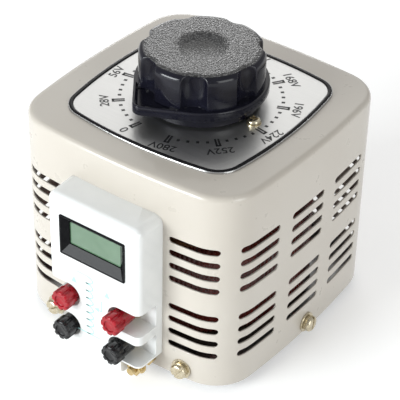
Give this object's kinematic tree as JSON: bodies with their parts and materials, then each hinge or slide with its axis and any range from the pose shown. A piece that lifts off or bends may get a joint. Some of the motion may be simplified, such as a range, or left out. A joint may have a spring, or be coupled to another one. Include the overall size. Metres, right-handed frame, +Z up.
{
  "type": "variac autotransformer",
  "caption": "Bench variac: a knob turns a brush over a toroidal winding under a vented steel cover, with a dial, a voltage display and binding posts.",
  "frame": {"origin": "on the floor under the middle of the object's bounding box; the knob's axis is 10.03 mm behind it", "axes": "+X to the right seen from the terminal panel, +Y to the back, +Z up along the knob's axis"},
  "size_m": [0.1436, 0.1608, 0.144],
  "materials": {
    "case_paint": "gloss",
    "base_steel": "satin zinc plate",
    "foot_rubber": "matte",
    "yellow_zinc": "yellow zinc plate",
    "bright_steel": "bright",
    "insulator": "matte",
    "grey_frame": "painted grey",
    "iron_core": "matte",
    "winding_red": "varnished",
    "copper": "bare copper",
    "carbon": "matte",
    "aluminium": "turned",
    "dial_silver": "brushed",
    "trim_black": "gloss",
    "knob_black": "gloss with a pebbled top",
    "panel_white": "gloss",
    "bezel_black": "satin",
    "screen": "clear over a grey-green cell",
    "board": "satin",
    "post_red": "gloss",
    "post_black": "gloss",
    "brass": "satin",
    "lead_wire": "satin"
  },
  "bodies": {
    "case": {"base_pad": "insulator", "base_plate": "base_steel", "bearing_column": "grey_frame", "brush_track": "copper", "bushes": "brass", "clamp_ring": "insulator", "collector_finger": "brass", "collector_post": "brass", "core": "iron_core", "cover": "case_paint", "cover_nuts": "bright_steel", "cover_screws": "yellow_zinc", "cover_washers": "yellow_zinc", "dial_frame": "trim_black", "dial_nuts": "bright_steel", "dial_plate": "dial_silver", "dial_screws": "yellow_zinc", "dial_washers": "yellow_zinc", "display_bezel": "bezel_black", "display_board": "board", "display_glass": "screen", "earth_nuts": "brass", "earth_stud": "brass", "feet": "foot_rubber", "foot_screws": "bright_steel", "leads": "lead_wire", "panel_screws": "bright_steel", "post_bases": "brass", "post_nuts": "brass", "post_studs": "brass", "ring_lower": "insulator", "stack_bolts": "bright_steel", "stack_nuts": "bright_steel", "stop_pin": "bright_steel", "terminal_panel": "panel_white", "top_clamp": "grey_frame", "winding": "winding_red"},
    "rotor": {"shaft": "bright_steel", "shaft_collar": "bright_steel", "brush_disc": "aluminium", "brush_holder": "insulator", "brush_cap": "brass", "collector_ring": "brass", "stop_lug": "aluminium", "knob": "knob_black", "knob_setscrew": "bright_steel", "brush_spring": "bright_steel"},
    "brush": {"carbon_brush": "carbon"},
    "clamp_left_red": {"washer_left_red": "brass"},
    "nut_left_red": {"cap_left_red": "post_red"},
    "clamp_left_black": {"washer_left_black": "brass"},
    "nut_left_black": {"cap_left_black": "post_black"},
    "clamp_right_red": {"washer_right_red": "brass"},
    "nut_right_red": {"cap_right_red": "post_red"},
    "clamp_right_black": {"washer_right_black": "brass"},
    "nut_right_black": {"cap_right_black": "post_black"}
  },
  "joints": [
    {"name": "dial_turn", "type": "hinge", "parent": "case", "child": "rotor", "pos_m": [0, 0.01003, 0.1], "axis": [0, 0, -1], "range_deg": [0, 332]},
    {"name": "brush_ride", "type": "slide", "parent": "rotor", "child": "brush", "axis": [0, 0, 1], "range_m": [0, 0.0015], "stiffness_N_per_m": 150, "springref_m": -0.004, "deforming": ["brush_spring"]},
    {"name": "left_red_lift", "type": "slide", "parent": "case", "child": "clamp_left_red", "axis": [0, -1, 0], "range_m": [0, 0.004]},
    {"name": "left_red_unscrew", "type": "hinge", "parent": "clamp_left_red", "child": "nut_left_red", "pos_m": [-0.015, -0.06997, 0.0396], "axis": [0, -1, 0], "range_deg": [0, 2058]},
    {"name": "left_black_lift", "type": "slide", "parent": "case", "child": "clamp_left_black", "axis": [0, -1, 0], "range_m": [0, 0.004]},
    {"name": "left_black_unscrew", "type": "hinge", "parent": "clamp_left_black", "child": "nut_left_black", "pos_m": [-0.015, -0.06997, 0.0214], "axis": [0, -1, 0], "range_deg": [0, 2058]},
    {"name": "right_red_lift", "type": "slide", "parent": "case", "child": "clamp_right_red", "axis": [0, -1, 0], "range_m": [0, 0.004]},
    {"name": "right_red_unscrew", "type": "hinge", "parent": "clamp_right_red", "child": "nut_right_red", "pos_m": [0.015, -0.06997, 0.0396], "axis": [0, -1, 0], "range_deg": [0, 2058]},
    {"name": "right_black_lift", "type": "slide", "parent": "case", "child": "clamp_right_black", "axis": [0, -1, 0], "range_m": [0, 0.004]},
    {"name": "right_black_unscrew", "type": "hinge", "parent": "clamp_right_black", "child": "nut_right_black", "pos_m": [0.015, -0.06997, 0.0214], "axis": [0, -1, 0], "range_deg": [0, 2058]}
  ],
  "couplings": [
    {"joint": "left_red_unscrew", "follows": "left_red_lift", "rad_per_m": 8976},
    {"joint": "left_black_unscrew", "follows": "left_black_lift", "rad_per_m": 8976},
    {"joint": "right_red_unscrew", "follows": "right_red_lift", "rad_per_m": 8976},
    {"joint": "right_black_unscrew", "follows": "right_black_lift", "rad_per_m": 8976}
  ]
}
